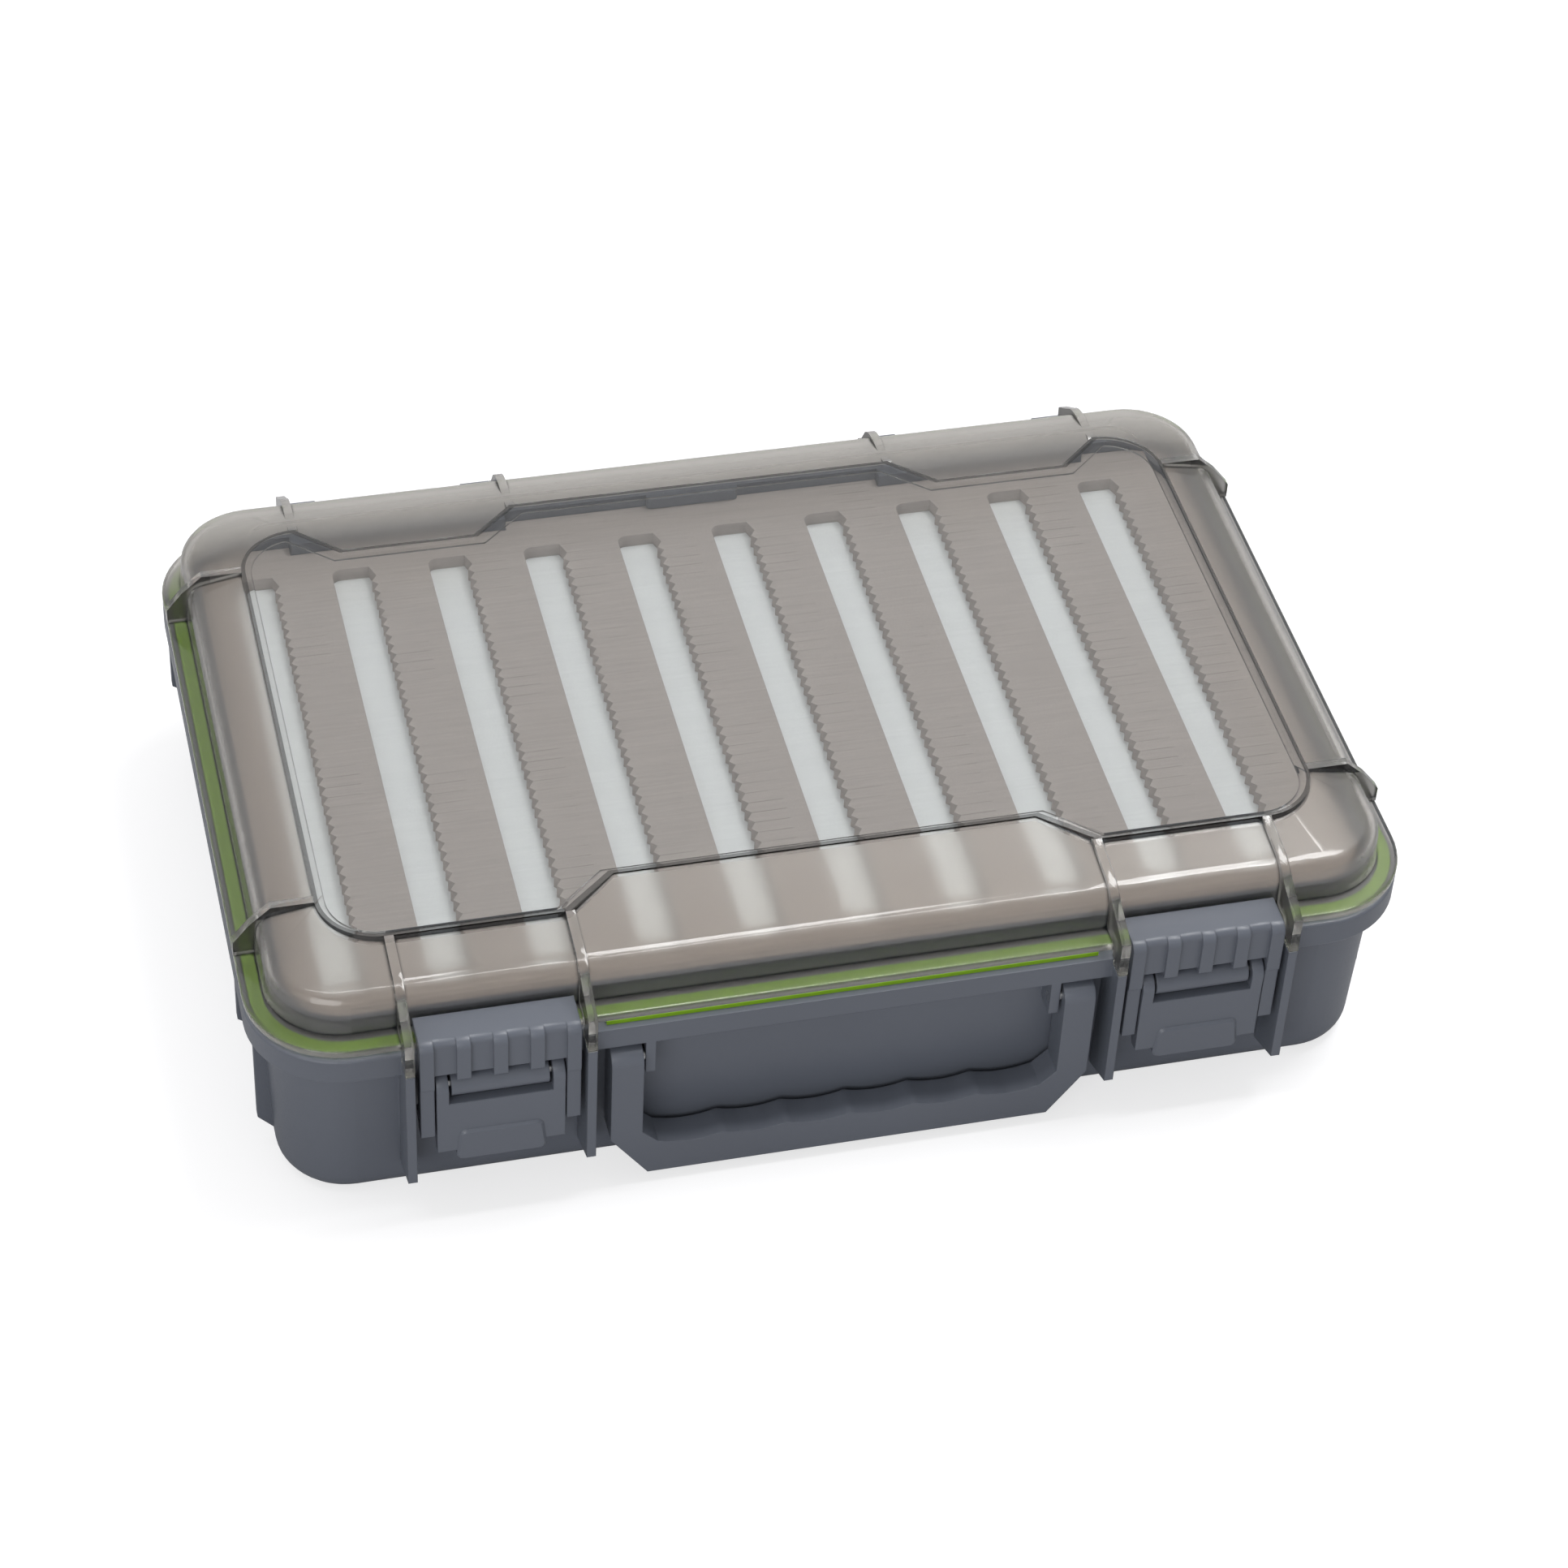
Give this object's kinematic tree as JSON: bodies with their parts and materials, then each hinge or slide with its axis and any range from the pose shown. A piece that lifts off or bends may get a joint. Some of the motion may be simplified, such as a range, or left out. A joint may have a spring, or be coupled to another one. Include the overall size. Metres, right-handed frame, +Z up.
{
  "type": "fly box",
  "caption": "Waterproof fly fishing box with a clear hinged lid, two over-centre latches, a swinging handle and a slit-foam tray.",
  "frame": {"origin": "middle of the box's outline in plan, on the surface that the box stands on", "axes": "+X to the right along the long side, -Y to the front where the latches and the handle are, +Y to the hinges, +Z up through the lid"},
  "size_m": [0.3046, 0.2172, 0.075],
  "materials": {
    "slate_plastic": "fine satin",
    "smoke_clear": "clear, lightly tinted",
    "green_silicone": "smooth",
    "taupe_foam": "fine closed-cell foam",
    "white_foam": "fine closed-cell foam",
    "pin_steel": "drawn"
  },
  "bodies": {
    "tub": {"base_tub": "slate_plastic", "tray": "slate_plastic", "gasket": "green_silicone", "slit_foam": "taupe_foam", "backing_foam": "white_foam", "floor_foam": "taupe_foam", "handle_pin_left": "pin_steel", "handle_pin_right": "pin_steel"},
    "lid": {"lid": "smoke_clear", "hinge_pin_left": "pin_steel", "hinge_pin_right": "pin_steel"},
    "handle": {"handle": "slate_plastic"},
    "lever_left": {"latch_lever_left": "slate_plastic", "lever_pin_left": "pin_steel"},
    "lever_right": {"latch_lever_right": "slate_plastic", "lever_pin_right": "pin_steel"},
    "clamp_left": {"latch_clamp_left": "slate_plastic", "clamp_pins_left": "pin_steel"},
    "clamp_right": {"latch_clamp_right": "slate_plastic", "clamp_pins_right": "pin_steel"}
  },
  "joints": [
    {"name": "lid_hinge", "type": "hinge", "parent": "tub", "child": "lid", "pos_m": [0, 0.1056, 0.0609], "axis": [-1, 0, 0], "range_deg": [0, 110]},
    {"name": "handle_hinge", "type": "hinge", "parent": "tub", "child": "handle", "pos_m": [0, -0.102, 0.044], "axis": [-1, 0, 0], "range_deg": [0, 95]},
    {"name": "lever_left", "type": "hinge", "parent": "tub", "child": "lever_left", "pos_m": [-0.092, -0.1035, 0.0456], "axis": [-1, 0, 0], "range_deg": [0, 120]},
    {"name": "clamp_left", "type": "hinge", "parent": "lever_left", "child": "clamp_left", "pos_m": [-0.092, -0.10292, 0.03461], "axis": [-1, 0, 0], "range_deg": [-144, 0]},
    {"name": "lever_right", "type": "hinge", "parent": "tub", "child": "lever_right", "pos_m": [0.092, -0.1035, 0.0456], "axis": [-1, 0, 0], "range_deg": [0, 120]},
    {"name": "clamp_right", "type": "hinge", "parent": "lever_right", "child": "clamp_right", "pos_m": [0.092, -0.10292, 0.03461], "axis": [-1, 0, 0], "range_deg": [-144, 0]}
  ],
  "couplings": [
    {"joint": "clamp_left", "follows": "lever_left", "ratio": -1.2},
    {"joint": "clamp_right", "follows": "lever_right", "ratio": -1.2}
  ]
}
